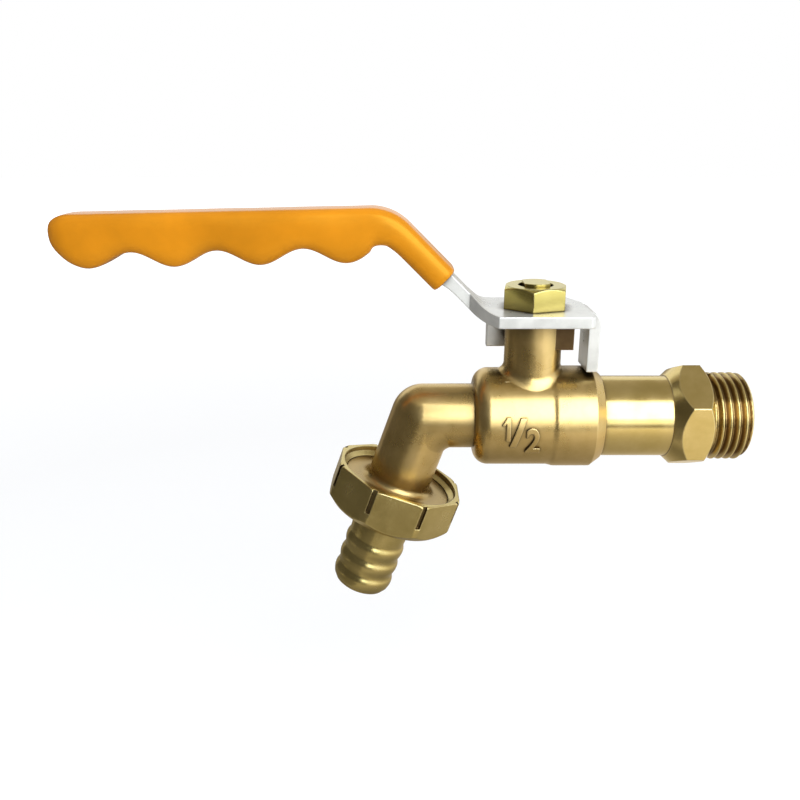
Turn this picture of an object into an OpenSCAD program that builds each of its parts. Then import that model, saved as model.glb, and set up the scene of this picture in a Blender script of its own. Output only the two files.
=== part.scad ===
// Lever ball-valve bib tap with a hose union, half inch inlet.
// Origin on the inlet axis, on the face of the hexagon where the thread starts.
// +X runs along the inlet thread into the wall, the spout and lever point to -X, +Z is up.

/* [Inlet] */
// Outer diameter of the inlet pipe thread
thread_d = 20.955; // [20.5:0.005:21.4]
// Length of the threaded end, from the hexagon to the tip
thread_len = 9.6; // [8:0.1:14]
// Chamfer on the tip of the thread
thread_chamfer = 1; // [0.6:0.1:1.4]
// Size across the flats of the tailpiece's hexagon
hex_af = 22.5; // [22:0.1:24]
// Length of the hexagon
hex_len = 8.8; // [7:0.1:11]
// Length of the cone that the hexagon's corners are turned to, on the tube side
hex_cone = 3.4; // [2:0.1:4.5]
// Height of that cone's foot above the tube
hex_step = 0.2; // [0.1:0.1:0.6]
// Length of the chamfer on the hexagon's corners, on the thread side
hex_chamfer = 1.5; // [0.5:0.1:2]
// Chamfer in the mouth of the bore
bore_chamfer = 1; // [0.5:0.1:1.4]
// Turn of the hexagon about the inlet axis
hex_turn = 5; // [0:1:60]
// Outer diameter of the tailpiece's tube
tube_d = 19.3; // [18.8:0.1:19.9]
// Length of bare tube between the body and the hexagon
tube_len = 16; // [10:0.5:26]
// Bore of the tailpiece
inlet_bore_d = 13.2; // [11:0.1:14]
// Length of the tailpiece's hidden thread inside the body
joint_len = 8; // [6:0.5:9]
// Outer diameter of that hidden thread
joint_d = 18.5; // [18.4:0.05:18.7]

/* [Body] */
// Outer diameter of the round ball chamber
body_d = 23.4; // [22.6:0.1:23.8]
// Outer diameter of the raised band at the body's mouth
band_d = 24.2; // [24:0.1:25]
// Length of the raised band, without its ramp and chamfer
band_len = 8.6; // [7:0.1:9]
// Length of the ramp from the chamber up to the band
band_ramp = 1.5; // [0.8:0.1:2]
// Length of the chamfer at the mouth
mouth_chamfer = 2.3; // [1.5:0.1:3]
// Outer diameter of the rim at the mouth
mouth_d = 20.8; // [20.4:0.1:21.4]
// Length of the rounded shoulder between chamber and spout
shoulder_len = 3.5; // [2.5:0.1:4.5]
// Length of the chamber's wall to the spout side of the stem axis
chamber_back = 10.3; // [10:0.1:12]
// Diameter of the chamber's bore
chamber_bore_d = 18; // [17.9:0.05:18.2]
// Diameter of the neck round the stem
neck_d = 13.3; // [12.8:0.1:14]
// Height of the neck's top above the waterway axis
neck_top = 23.5; // [22:0.1:26]
// Radius of the fillet at the foot of the neck
neck_fillet = 2.5; // [1.5:0.1:3]
// Height of the two stop pads at the top of the neck
stop_h = 5.9; // [4:0.1:7]
// Reach of the open stop along its face
stop_reach = 6; // [5:0.1:6.4]
// Reach of the closed stop along its face
closed_reach = 5; // [4.4:0.1:6]

/* [Spout] */
// Outer diameter of the spout's tube
spout_d = 15.5; // [15.5:0.1:16]
// Bore of the waterway through the spout
water_d = 10.8; // [9:0.1:11.4]
// Distance from the stem axis to the corner of the spout
spout_reach = 25.7; // [24.5:0.1:32]
// Lean of the outlet away from the body
spout_tilt = 19.5; // [14:0.5:24]
// Radius of the fillet inside the elbow
elbow_fillet = 2.5; // [1.5:0.1:3]
// Outer diameter of the threaded outlet collar
collar_d = 26.44; // [26.1:0.01:26.8]
// Length of the outlet collar
collar_len = 4.5; // [3.5:0.1:6]
// Distance from the corner to the collar's end, along the outlet axis
collar_drop = 23.1; // [22:0.1:28]
// Radius of the fillet from the spout's tube into the collar
collar_fillet = 2; // [1:0.1:2.4]
// Diameter of the opening at the collar's end
outlet_mouth_d = 14; // [12:0.1:15]
// Depth of the flare into that opening
outlet_flare = 4; // [2:0.1:4.4]

/* [Ball and seats] */
// Diameter of the ball
ball_d = 16; // [15.6:0.05:16.4]
// Bore through the ball
ball_bore_d = 9.5; // [8:0.1:9.8]
// Depth of the slot for the stem's tang
slot_depth = 2.2; // [1.8:0.1:2.3]
// Gap between the ball and each seat
seat_gap = 0.05; // [0.03:0.01:0.1]
// How far each seat reaches over the ball
seat_wrap = 3; // [2.6:0.1:3.2]
// Thickness of each seat behind the ball
seat_back = 0.2; // [0.1:0.05:0.5]
// Bore of each seat
seat_bore_d = 10; // [9.8:0.1:10.8]

/* [Stem] */
// Diameter of the stem where it turns in the neck
stem_d = 9.2; // [9:0.05:9.5]
// Radial running clearance of the stem and of the other turning fits
running_gap = 0.05; // [0.02:0.01:0.08]
// Clearance round the stem's shoulder and over the ball and the seats
stem_play = 0.2; // [0.1:0.05:0.3]
// Diameter of the shoulder that keeps the stem in
shoulder_d = 11.2; // [10.8:0.1:11.6]
// Thickness of the shoulder
shoulder_t = 1.8; // [1.4:0.1:2.1]
// Thickness of the thrust washer above the shoulder
washer_t = 0.6; // [0.4:0.1:0.8]
// Thickness of the tang that turns the ball
tang_t = 3; // [2.6:0.1:3.4]
// Width of the tang
tang_w = 7; // [6:0.1:8]
// Thickness of each O-ring
ring_t = 1.2; // [1:0.05:1.4]
// Height of the lower O-ring above the waterway axis
ring_low_z = 14; // [13:0.1:15]
// Distance between the two O-rings
ring_pitch = 4; // [3:0.1:5]
// Diameter of the threaded top of the stem
stem_top_d = 8; // [7.6:0.1:8.2]
// Size across the two flats at the top of the stem
stem_flats = 5.8; // [5:0.1:6.2]
// How far the stem's end stands out of the nut
stem_proud = 0.7; // [0.3:0.1:1.5]

/* [Lever] */
// Thickness of the lever's steel sheet
lever_t = 2.6; // [2:0.1:2.8]
// Gap between the neck's top and the lever
lever_gap = 0.6; // [0.4:0.1:1]
// Width of the lever's head
head_w = 23; // [22.4:0.1:25]
// Reach of the head past the stem, on the inlet side
head_front = 12; // [11.8:0.1:14]
// Cut of the head's near front corner
near_cut = 1; // [0.5:0.1:2]
// Cut of the head's far front corner, along the head
far_cut_len = 2.5; // [1:0.1:3]
// Cut of the head's far front corner, across the head
far_cut_w = 6; // [3:0.1:6.5]
// Width of the arm and of the steel inside the grip
arm_w = 9.6; // [9:0.1:11]
// Length of the head's full width that is left off before the foot of the arm
taper_from = 2; // [1:0.1:3]
// Length over which the head tapers to the arm
head_taper = 6; // [4:0.1:9]
// Distance from the stem axis to the foot of the sloping arm
arm_foot = 11.5; // [11:0.1:13]
// Slope of the arm
arm_slope = 45; // [42:1:48]
// Radius of the bend at the foot of the arm, on its upper face
foot_r = 7; // [5:0.1:8]
// Height of the handle's steel above the head, where arm and handle meet
arm_rise = 21.8; // [19:0.1:26]
// Droop of the handle towards its free end
handle_droop = 1.2; // [0:0.1:3]
// Radius of the bend at the top of the arm, on its upper face
crown_r = 11.3; // [10:0.1:13]
// Length of the handle from the top of the arm to the tip of the grip
handle_len = 77.4; // [76.8:0.1:86]
// Distance from the stem axis to the inner face of the stop flange
flange_in = 8.9; // [8.6:0.1:9.1]
// Drop of the stop flange below the head's top
flange_drop = 11.7; // [9:0.1:12.5]
// Length of the stop flange on each side of the stem axis
flange_half = 10; // [9.6:0.1:10.8]
// Width of the tab at the front of the head
tab_w = 9.4; // [7:0.1:11]
// Shift of the tab towards the near side
tab_shift = 0.8; // [0:0.1:1.5]
// Gap between the tab's end and the body's band
tab_gap = 0.4; // [0.3:0.05:1]
// Outer radius of the bends into the flange and the tab
bend_r = 3; // [2.8:0.1:3.4]

/* [Grip] */
// Wall of the dipped grip over the steel
grip_wall = 1.2; // [0.8:0.1:1.5]
// Depth of the grip below the steel's top on the arm
grip_arm_depth = 5.4; // [5:0.1:6]
// Depth of the grip below the steel's top between finger swells
grip_trough = 7.6; // [7:0.1:8.4]
// Length before the top of the arm over which the grip starts to deepen
grip_lead = 8; // [6:0.5:10]
// Height of each finger swell
swell_h = 3.5; // [2.5:0.1:4]
// Distance from one finger swell to the next
swell_pitch = 19.3; // [18:0.1:19.6]
// Distance from the top of the arm to the first swell
first_swell = 10.2; // [10:0.1:11]
// Length of the arm that the grip covers, down from the top of the arm
grip_on_arm = 19.6; // [17:0.1:20.5]
// Radius of the grip's long edges
grip_edge = 2.6; // [2:0.1:2.8]
// Length of the grip's rounded nose, past the end of the steel
nose_len = 6; // [5:0.1:8]

/* [Handle nut] */
// Size across the flats of the handle nut
nut_af = 13.8; // [13:0.1:15]
// Height of the handle nut
nut_h = 5.2; // [4.5:0.1:6.5]
// Slope of the cone that the nut's upper corners are turned to
nut_slope = 30; // [20:1:40]
// Turn of the handle nut about the stem axis
nut_turn_deg = 19; // [0:1:60]

/* [Hose union] */
// Wall of the union nut round the outlet collar
union_wall = 2.98; // [2.6:0.02:3.6]
// Height of the union nut
union_h = 10.2; // [10:0.1:12]
// Depth of the flats round the union nut, one between each two notches
union_flat_cut = 1; // [0.4:0.1:1.1]
// Chamfer round the lower edge of the union nut
union_chamfer = 1.8; // [1:0.1:2.4]
// Thickness of the lip that holds the hose tail
lip_t = 1.2; // [1:0.1:2.2]
// Depth of the open counterbore in the union nut's wall, at its top
union_mouth_cut = 1.18; // [0.8:0.02:1.6]
// Length of the chamfer from that counterbore into the nut's thread
union_lead = 0.8; // [0.5:0.1:1]
// Chamfer round the upper edge of the union nut
union_rim = 0.4; // [0.2:0.1:0.6]
// Gap between the union nut and what turns inside it
union_gap = 0.1; // [0.05:0.01:0.1]
// Number of finger notches round the union nut
notch_count = 8; // [6:1:10]
// Width of each finger notch
notch_w = 1.1; // [0.8:0.1:1.6]
// Depth of each finger notch
notch_depth = 0.8; // [0.5:0.1:1]
// Length of each finger notch, down from the rim
notch_len = 6; // [4:0.1:7]
// Thickness of the rubber gasket
gasket_t = 1; // [0.8:0.1:1.6]
// Inner diameter of the rubber gasket
gasket_bore_d = 12.4; // [11:0.1:13]
// Radial clearance of the hose tail's flange and gasket in the union nut
flange_play = 0.92; // [0.5:0.02:1.6]
// Thickness of the hose tail's flange
tail_flange_t = 1.2; // [1:0.1:2]
// Diameter over the crests of the hose tail's barbs
hose_d = 15.1; // [14.8:0.1:15.2]
// Diameter of the plain shank between the flange and the barbs
shank_d = 14.6; // [14:0.1:14.6]
// Diameter between the barbs
barb_root_d = 13.9; // [13.4:0.1:14.2]
// Bore of the hose tail
tail_bore_d = 10.4; // [9:0.1:11.4]
// Length of the hose tail below the union nut
tail_len = 21.5; // [19:0.1:30]
// Distance from one barb to the next
barb_pitch = 4.5; // [3.6:0.1:5]
// Number of barbs
barb_count = 3; // [2:1:3]
// Length of the flat crest of each barb
barb_land = 0.8; // [0.6:0.1:1.2]
// Distance from the last barb's crest to the tail's tip
tip_len = 3.2; // [2.4:0.1:4]
// Diameter at the tail's tip
tip_d = 13.2; // [12.6:0.1:13.6]
// Chamfer round the tail's tip
tip_chamfer = 0.5; // [0.3:0.1:0.8]

/* [Hidden] */
$fn = 96;
eps = 0.01;
// Overlap of bars that are joined, and run-out of cutters past the faces they open
over = 1;

cast_brass = [0.72, 0.56, 0.28];
turned_brass = [0.80, 0.68, 0.38];
bright_brass = [0.80, 0.74, 0.32];
zinc_steel = [0.80, 0.82, 0.83];
vinyl = [0.93, 0.62, 0.12];
ptfe = [0.94, 0.94, 0.92];
nitrile = [0.10, 0.10, 0.10];

// The ball between its seats
ball_r = ball_d / 2;
seat_near = ball_r - seat_wrap;
seat_far = ball_r + seat_back;

// Places along the inlet axis
mouth_x = -hex_len - tube_len;
band_x = mouth_x - mouth_chamfer - band_len;
seat_back_x = mouth_x - joint_len;
stem_x = seat_back_x - seat_far;
chamber_end_x = stem_x - seat_far;
shoulder_x = stem_x - chamber_back;
spout_x = shoulder_x - shoulder_len;
corner_x = stem_x - spout_reach;

// Heights along the stem axis
slot_floor_z = ball_r - slot_depth;
tang_z = slot_floor_z + stem_play;
stem_shoulder_z = chamber_bore_d / 2 + stem_play;
washer_z = stem_shoulder_z + shoulder_t;
counterbore_z = washer_z + washer_t;
neck_bore_d = stem_d + 2 * running_gap;
lever_z = neck_top + lever_gap;
head_z = lever_z + lever_t;
nut_top_z = head_z + nut_h;
stem_top_z = nut_top_z + stem_proud;
ring_mid_r = neck_bore_d / 2 - ring_t / 2 - running_gap;
// Clearance of each O-ring above and below, and at the floor of its groove
groove_gap = 0.1;
groove_floor_gap = 0.02;
stop_gap = 0.3;
// Depth of the neck fillet's foot in the chamber, and of the elbow's fillet in its two bars
fillet_sink = 1.5;
web_inset = 0.1;
// How far the lever's flat strip and its cheeks run down the arm from the grip's edge, and how
// far up the arm the cheeks reach their full depth
web_lead = 2;
cheek_lead = 3;
cheek_rise = 6;
// How far the union nut's thread runs past the collar
thread_over = 0.2;
// Share of the handle nut's half width that its corner cone takes from the flats
top_land = 0.025;
stop_flat = flange_in - stop_gap;

// Radial clearance of the hose tail in the union nut's lip
lip_play = 0.4;

// Places along the outlet axis, measured from the corner of the spout
turn = 90 - spout_tilt;
collar_top = collar_drop - collar_len;
gasket_s = collar_drop;
flange_s = gasket_s + gasket_t;
lip_s = flange_s + tail_flange_t;
union_end = lip_s + lip_t;
union_top = union_end - union_h;
union_bore_r = collar_d / 2 + union_gap;
union_r = union_bore_r + union_wall;
tail_flange_r = union_bore_r - flange_play;
lip_bore_r = hose_d / 2 + lip_play;
tail_end = union_end + tail_len;
last_crest = tail_end - tip_len;

// The handle's path follows the upper face of its steel, in the plane of the waterway
foot = [stem_x - arm_foot, head_z];
crown = [foot.x - arm_rise / tan(arm_slope), head_z + arm_rise];
crown_turn = arm_slope + handle_droop;
crown_t = crown_r * tan(crown_turn / 2);
arm_end_s = grip_on_arm - crown_t;
bend_len = crown_r * crown_turn * PI / 180;
straight_len = handle_len - crown_t;
grip_half_w = arm_w / 2 + grip_wall;
grip_end = arm_end_s + bend_len + straight_len;
steel_end = grip_end - nose_len;
crown_s = arm_end_s + bend_len - crown_t;

// Direction of travel up the arm and along the handle, as an angle in the X-Z plane
function heading(s) =
    s < arm_end_s ? 180 - arm_slope
    : s < arm_end_s + bend_len ? 180 - arm_slope + crown_turn * (s - arm_end_s) / bend_len
    : 180 + handle_droop;

function unit(a) = [cos(a), sin(a)];

bend_start = crown - crown_t * unit(180 - arm_slope);
bend_centre = bend_start + crown_r * unit(270 - arm_slope);

// Point on the path at the length s, measured up the arm from the grip's edge
function path(s) =
    s < arm_end_s ? bend_start + (s - arm_end_s) * unit(180 - arm_slope)
    : s < arm_end_s + bend_len ? bend_centre + crown_r * unit(heading(s) - 90)
    : crown + (s - crown_s) * unit(180 + handle_droop);

// Smooth step from 0 to 1 between the lengths a and b
function ease(s, a, b) = let (k = min(1, max(0, (s - a) / (b - a)))) k * k * (3 - 2 * k);

// Depth of the grip below the path
function swell(s) = swell_h / 2 * (1 + cos(360 * (s - crown_s - first_swell) / swell_pitch));
function grip_depth(s) =
    let (on = ease(s, crown_s - grip_lead, crown_s + first_swell / 2))
    grip_arm_depth + (grip_trough - grip_arm_depth) * on
    + swell(s) * ease(s, crown_s, crown_s + first_swell / 2);

// Share of the full section that is left as the nose rounds off, and the square of its last one
nose_flat = 0.02;
function nose(s) = s < grip_end - nose_len ? 1
    : sqrt(max(nose_flat, 1 - pow((s - grip_end + nose_len) / nose_len, 2)));

// A point at the depth d below the path, and the same as a point in space
function below(s, d) = path(s) + d * unit(heading(s) + 90);
function in_space(p, y) = [p.x, y, p.y];

// Rounded rectangle section as [side, depth] pairs, from the near upper corner
function corner(y, d, r, a0) = [for (k = [0:4]) [y + r * cos(a0 + k * 22.5), d - r * sin(a0 + k * 22.5)]];
function section(half, top, bottom, r) = concat(
    corner(half - r, top + r, r, 0),
    corner(r - half, top + r, r, 90),
    corner(r - half, bottom - r, r, 180),
    corner(half - r, bottom - r, r, 270));

module on_stem() {
    translate([stem_x, 0, 0]) children();
}

module along_x(x) {
    translate([x, 0, 0]) rotate([0, 90, 0]) children();
}

module on_outlet(s = 0) {
    translate([corner_x, 0, 0]) rotate([0, 180 + spout_tilt, 0]) translate([0, 0, s]) children();
}

// Round elbow of two bars and a ball, in the corner of the spout
module elbow(d) {
    along_x(corner_x) cylinder(d = d, h = spout_x - corner_x + eps);
    on_outlet() cylinder(d = d, h = collar_top + eps);
    on_outlet() sphere(d = d);
}

// Cast fillet inside the elbow, part of a ring that lies just under the two bars
module elbow_web() {
    mid_r = spout_d / 2 + elbow_fillet;
    translate([corner_x + mid_r * tan(turn / 2), 0, -mid_r]) rotate([90, 0, 0]) rotate([0, 0, 90])
        rotate_extrude(angle = turn) translate([mid_r, 0]) circle(r = spout_d / 2 - web_inset);
}

module hex_bar(af, len) {
    cylinder(d = af / cos(30), h = len, $fn = 6);
}

// Trims the upper corners of a hexagon to a cone
module corner_cone(af, len, slope) {
    r = af / cos(30) / 2 + eps;
    flat_r = af / 2 * (1 - top_land);
    rotate_extrude() polygon([
        [0, 0], [r, 0], [r, len - (r - flat_r) * tan(slope)], [flat_r, len], [0, len]]);
}

module neck() {
    on_stem() {
        cylinder(d = neck_d, h = neck_top);
        translate([0, 0, body_d / 2 - fillet_sink]) difference() {
            cylinder(r = neck_d / 2 + neck_fillet, h = neck_fillet);
            rotate_extrude() translate([neck_d / 2 + neck_fillet, neck_fillet])
                circle(r = neck_fillet);
        }
        translate([0, 0, neck_top - stop_h]) {
            translate([-stop_reach, 0, 0]) cube([stop_reach, stop_flat, stop_h]);
            translate([0, -closed_reach, 0]) cube([stop_flat, closed_reach, stop_h]);
        }
    }
}

module body_outside() {
    along_x(band_x) cylinder(d = band_d, h = band_len);
    along_x(band_x - band_ramp) cylinder(d1 = body_d, d2 = band_d, h = band_ramp);
    along_x(mouth_x - mouth_chamfer) cylinder(d1 = band_d, d2 = mouth_d, h = mouth_chamfer);
    along_x(shoulder_x) cylinder(d = body_d, h = band_x - shoulder_x);
    // Rounded shoulder, a quarter ellipse drawn with a circle on a short cone
    along_x(spout_x) rotate_extrude() intersection() {
        square([body_d / 2, shoulder_len]);
        union() {
            square([body_d / 2 - shoulder_len, shoulder_len]);
            translate([body_d / 2 - shoulder_len, shoulder_len]) circle(r = shoulder_len);
        }
    }
    elbow(spout_d);
    elbow_web();
    on_outlet(collar_top - collar_fillet) difference() {
        cylinder(r = spout_d / 2 + collar_fillet, h = collar_fillet);
        rotate_extrude() translate([spout_d / 2 + collar_fillet, 0]) circle(r = collar_fillet);
    }
    on_outlet(collar_top) cylinder(d = collar_d, h = collar_len);
    neck();
}

module body() {
    color(cast_brass) difference() {
        body_outside();
        // Ball chamber and the threaded mouth
        along_x(chamber_end_x) cylinder(d = chamber_bore_d, h = seat_back_x - chamber_end_x + eps);
        along_x(seat_back_x) cylinder(d = joint_d + 2 * running_gap, h = joint_len + over);
        // Waterway through the spout
        elbow(water_d);
        along_x(spout_x - over) cylinder(d = water_d, h = chamber_end_x - spout_x + 2 * over);
        on_outlet(collar_top - over) cylinder(d = water_d, h = collar_len);
        on_outlet(collar_drop - outlet_flare) cylinder(d1 = water_d, d2 = outlet_mouth_d,
                                                       h = outlet_flare + eps);
        // Stem hole with the seat for the thrust washer
        on_stem() cylinder(d = neck_bore_d, h = neck_top + over);
        on_stem() cylinder(d = shoulder_d + 2 * stem_play, h = counterbore_z);
    }
}

module inlet_tailpiece() {
    thread_r = thread_d / 2;
    hex_r = hex_af / 2 / cos(30);
    cone_r = tube_d / 2 + hex_step;
    color(turned_brass) difference() {
        union() {
            rotate([0, 90, 0]) rotate_extrude() polygon([
                [0, -eps], [thread_r, -eps], [thread_r, thread_len - thread_chamfer],
                [thread_r - thread_chamfer, thread_len], [0, thread_len]]);
            // Hexagon turned to a long cone towards the tube and a short one at the thread
            along_x(-hex_len) rotate([0, 0, hex_turn]) intersection() {
                hex_bar(hex_af, hex_len);
                rotate_extrude() polygon([
                    [0, 0], [cone_r, 0], [hex_r + eps, hex_cone],
                    [hex_r + eps, hex_len - hex_chamfer],
                    [hex_af / 2 - eps, hex_len], [0, hex_len]]);
            }
            along_x(mouth_x) cylinder(d = tube_d, h = tube_len + eps);
            along_x(seat_back_x) cylinder(d = joint_d, h = joint_len + eps);
        }
        along_x(seat_back_x - over)
            cylinder(d = inlet_bore_d, h = thread_len - seat_back_x + 2 * over);
        along_x(thread_len - bore_chamfer)
            cylinder(d1 = inlet_bore_d, d2 = inlet_bore_d + 2 * bore_chamfer, h = bore_chamfer + eps);
    }
}

module ball() {
    slot_w = tang_t + 2 * running_gap;
    color(zinc_steel) on_stem() difference() {
        sphere(d = ball_d);
        rotate([0, 90, 0]) cylinder(d = ball_bore_d, h = ball_d + 2 * over, center = true);
        translate([-slot_w / 2, -ball_r - over, slot_floor_z])
            cube([slot_w, ball_d + 2 * over, ball_r]);
    }
}

// One seat ring, between the ball and the wall at the distance seat_far from its centre
module seat() {
    difference() {
        translate([0, 0, seat_near])
            cylinder(d = chamber_bore_d - 2 * running_gap, h = seat_far - seat_near);
        cylinder(d = seat_bore_d, h = seat_far + over);
        sphere(r = ball_r + seat_gap);
    }
}

module seat_inlet() {
    color(ptfe) on_stem() rotate([0, 90, 0]) seat();
}

module seat_outlet() {
    color(ptfe) on_stem() rotate([0, -90, 0]) seat();
}

module stem() {
    color(bright_brass) on_stem() difference() {
        union() {
            intersection() {
                translate([-tang_t / 2, -tang_w / 2, tang_z])
                    cube([tang_t, tang_w, stem_shoulder_z - tang_z + eps]);
                cylinder(d = shoulder_d, h = neck_top);
            }
            translate([0, 0, stem_shoulder_z]) cylinder(d = shoulder_d, h = shoulder_t);
            translate([0, 0, washer_z - eps]) cylinder(d = stem_d, h = lever_z - washer_z + eps);
            translate([0, 0, lever_z - eps]) intersection() {
                cylinder(d = stem_top_d, h = stem_top_z - lever_z);
                translate([-stem_flats / 2, -stem_top_d / 2, 0])
                    cube([stem_flats, stem_top_d, stem_top_z - lever_z]);
            }
        }
        for (z = [ring_low_z, ring_low_z + ring_pitch])
            translate([0, 0, z - ring_t / 2 - groove_gap]) difference() {
                cylinder(d = stem_d + over, h = ring_t + 2 * groove_gap);
                translate([0, 0, -over]) cylinder(r = ring_mid_r - ring_t / 2 - groove_floor_gap,
                                                  h = ring_t + 3 * over);
            }
    }
}

module thrust_washer() {
    color(ptfe) on_stem() translate([0, 0, washer_z]) difference() {
        cylinder(d = shoulder_d, h = washer_t);
        translate([0, 0, -over]) cylinder(d = neck_bore_d, h = washer_t + 2 * over);
    }
}

module stem_o_ring(z) {
    color(nitrile) on_stem() translate([0, 0, z])
        rotate_extrude() translate([ring_mid_r, 0]) circle(d = ring_t);
}

module stem_o_ring_lower() {
    stem_o_ring(ring_low_z);
}

module stem_o_ring_upper() {
    stem_o_ring(ring_low_z + ring_pitch);
}

// Outline of the lever from above: wide head, taper and narrow arm
module lever_plan() {
    taper_x = -arm_foot + taper_from;
    narrow_x = taper_x - head_taper;
    half_arm = arm_w / 2;
    polygon([
        [head_front, -head_w / 2 + near_cut], [head_front - near_cut, -head_w / 2],
        [taper_x, -head_w / 2],
        [narrow_x, -half_arm], [narrow_x - arm_rise, -half_arm],
        [narrow_x - arm_rise, half_arm], [narrow_x, half_arm],
        [taper_x, head_w / 2],
        [head_front - far_cut_len, head_w / 2], [head_front, head_w / 2 - far_cut_w]]);
}

// Angle section with a rounded outer corner: a plate to x = 0 whose edge turns down
module turned_edge(run, drop) {
    difference() {
        translate([-run, -drop]) square([run, drop]);
        translate([-run - over, -drop - over])
            square([run + over - lever_t, drop + over - lever_t]);
        difference() {
            translate([-bend_r, -bend_r]) square(bend_r + over);
            translate([-bend_r, -bend_r]) circle(r = bend_r);
        }
    }
}

// Side cheek of the channel inside the grip, from the foot of the arm to the tip
module cheek() {
    steps = 54;
    start = -cheek_lead;
    function edge(s) = let (full = ease(s, start, cheek_rise))
        max(lever_t, (grip_depth(s) - grip_wall) * full + lever_t * (1 - full));
    function at(k) = start + (steel_end - start) * k / steps;
    rotate([90, 0, 0]) linear_extrude(lever_t) polygon(concat(
        [for (k = [0:steps]) below(at(k), 0)],
        [for (k = [steps:-1:0]) below(at(k), edge(at(k)))]));
}

// Flat strip of the lever's steel along the path, from the grip's edge to the tip
module web() {
    from = -web_lead;
    steps = 12;
    function bend(k) = arm_end_s + bend_len * k / steps;
    translate([0, arm_w / 2, 0]) rotate([90, 0, 0]) linear_extrude(arm_w) polygon(concat(
        [below(from, 0)],
        [for (k = [0:steps]) below(bend(k), 0)],
        [below(steel_end, 0), below(steel_end, lever_t)],
        [for (k = [steps:-1:0]) below(bend(k), lever_t)],
        [below(from, lever_t)]));
}

// Head, foot bend and lower arm at the full width of the head, cut to the plan
module lever_head() {
    foot_t = foot_r * tan(arm_slope / 2);
    slope_len = norm(path(0) - foot) - foot_t + web_lead;
    intersection() {
        on_stem() translate([0, 0, lever_z - over]) linear_extrude(arm_rise + 2 * over) lever_plan();
        union() {
            translate([foot.x + foot_t, -head_w / 2, lever_z])
                cube([arm_foot - foot_t + head_front, head_w, lever_t]);
            translate([foot.x + foot_t, head_w / 2, head_z + foot_r]) rotate([90, 0, 0])
                linear_extrude(head_w) foot_arc();
            translate([foot.x, 0, foot.y]) rotate([0, arm_slope, 0])
                translate([-foot_t - slope_len, -head_w / 2, -lever_t])
                    cube([slope_len + eps, head_w, lever_t]);
        }
    }
}

// Ring segment of the bend at the foot of the arm
module foot_arc() {
    big = foot_r + lever_t;
    intersection() {
        difference() {
            circle(r = big);
            circle(r = foot_r);
        }
        polygon([[0, 0], [0, -2 * big], 2 * big * unit(270 - arm_slope / 2) / cos(arm_slope / 2),
                 2 * big * unit(270 - arm_slope)]);
    }
}

module lever_steel() {
    lever_head();
    web();
    for (y = [arm_w / 2, -arm_w / 2 + lever_t]) translate([0, y, 0]) cheek();
}

module lever() {
    tab_drop = head_z - band_d / 2 - tab_gap;
    color(zinc_steel) difference() {
        union() {
            lever_steel();
            on_stem() translate([0, 0, head_z]) {
                // Stop flange along the far side
                translate([-flange_half, flange_in + lever_t, 0]) rotate([90, 0, 90])
                    linear_extrude(2 * flange_half) turned_edge(bend_r, flange_drop);
                // Tab at the front
                translate([head_front + lever_t - over / 5, tab_w / 2 - tab_shift, 0])
                    rotate([90, 0, 0]) linear_extrude(tab_w) turned_edge(bend_r + lever_t, tab_drop);
            }
        }
        // Double-D hole for the stem
        on_stem() translate([0, 0, lever_z - over]) intersection() {
            cylinder(d = stem_top_d + 2 * running_gap, h = lever_t + 2 * over);
            translate([-stem_flats / 2 - running_gap, -head_w / 2, 0])
                cube([stem_flats + 2 * running_gap, head_w, lever_t + 2 * over]);
        }
    }
}

module grip_sleeve() {
    // Stations along the path, closer together over the bend and at the nose
    straight_steps = 30;
    from = arm_end_s + bend_len;
    stations = concat(
        [0, arm_end_s * 0.33, arm_end_s * 0.66],
        [for (k = [0:7]) arm_end_s + bend_len * k / 8],
        [for (k = [0:straight_steps]) from + (grip_end - nose_len - from) * k / straight_steps],
        [for (a = [20, 38, 54, 68, 80, 88]) grip_end - nose_len + nose_len * sin(a)]);
    rings = len(stations);
    sides = 20;
    function ring(s) =
        let (k = nose(s), top = -grip_wall, bottom = grip_depth(s), mid = (top + bottom) / 2,
             half = grip_half_w * k, reach = (bottom - top) / 2 * k,
             edge = min(grip_edge, half * 0.8, reach * 0.8))
        [for (q = section(half, mid - reach, mid + reach, edge)) in_space(below(s, q[1]), q[0])];
    points = [for (s = stations) each ring(s)];
    wall = [for (i = [0:rings - 2]) for (j = [0:sides - 1])
        let (a = i * sides + j, b = i * sides + (j + 1) % sides)
        each [[a, b, a + sides], [b, b + sides, a + sides]]];
    caps = [[for (j = [sides - 1:-1:0]) j], [for (j = [0:sides - 1]) (rings - 1) * sides + j]];
    color(vinyl) difference() {
        polyhedron(points, concat(wall, caps));
        lever_steel();
    }
}

module handle_nut() {
    color(bright_brass) on_stem() translate([0, 0, head_z]) rotate([0, 0, nut_turn_deg])
        difference() {
            intersection() {
                hex_bar(nut_af, nut_h);
                corner_cone(nut_af, nut_h, nut_slope);
            }
            translate([0, 0, -over]) cylinder(d = stem_top_d + 2 * running_gap,
                                              h = nut_h + 2 * over);
        }
}

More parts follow.
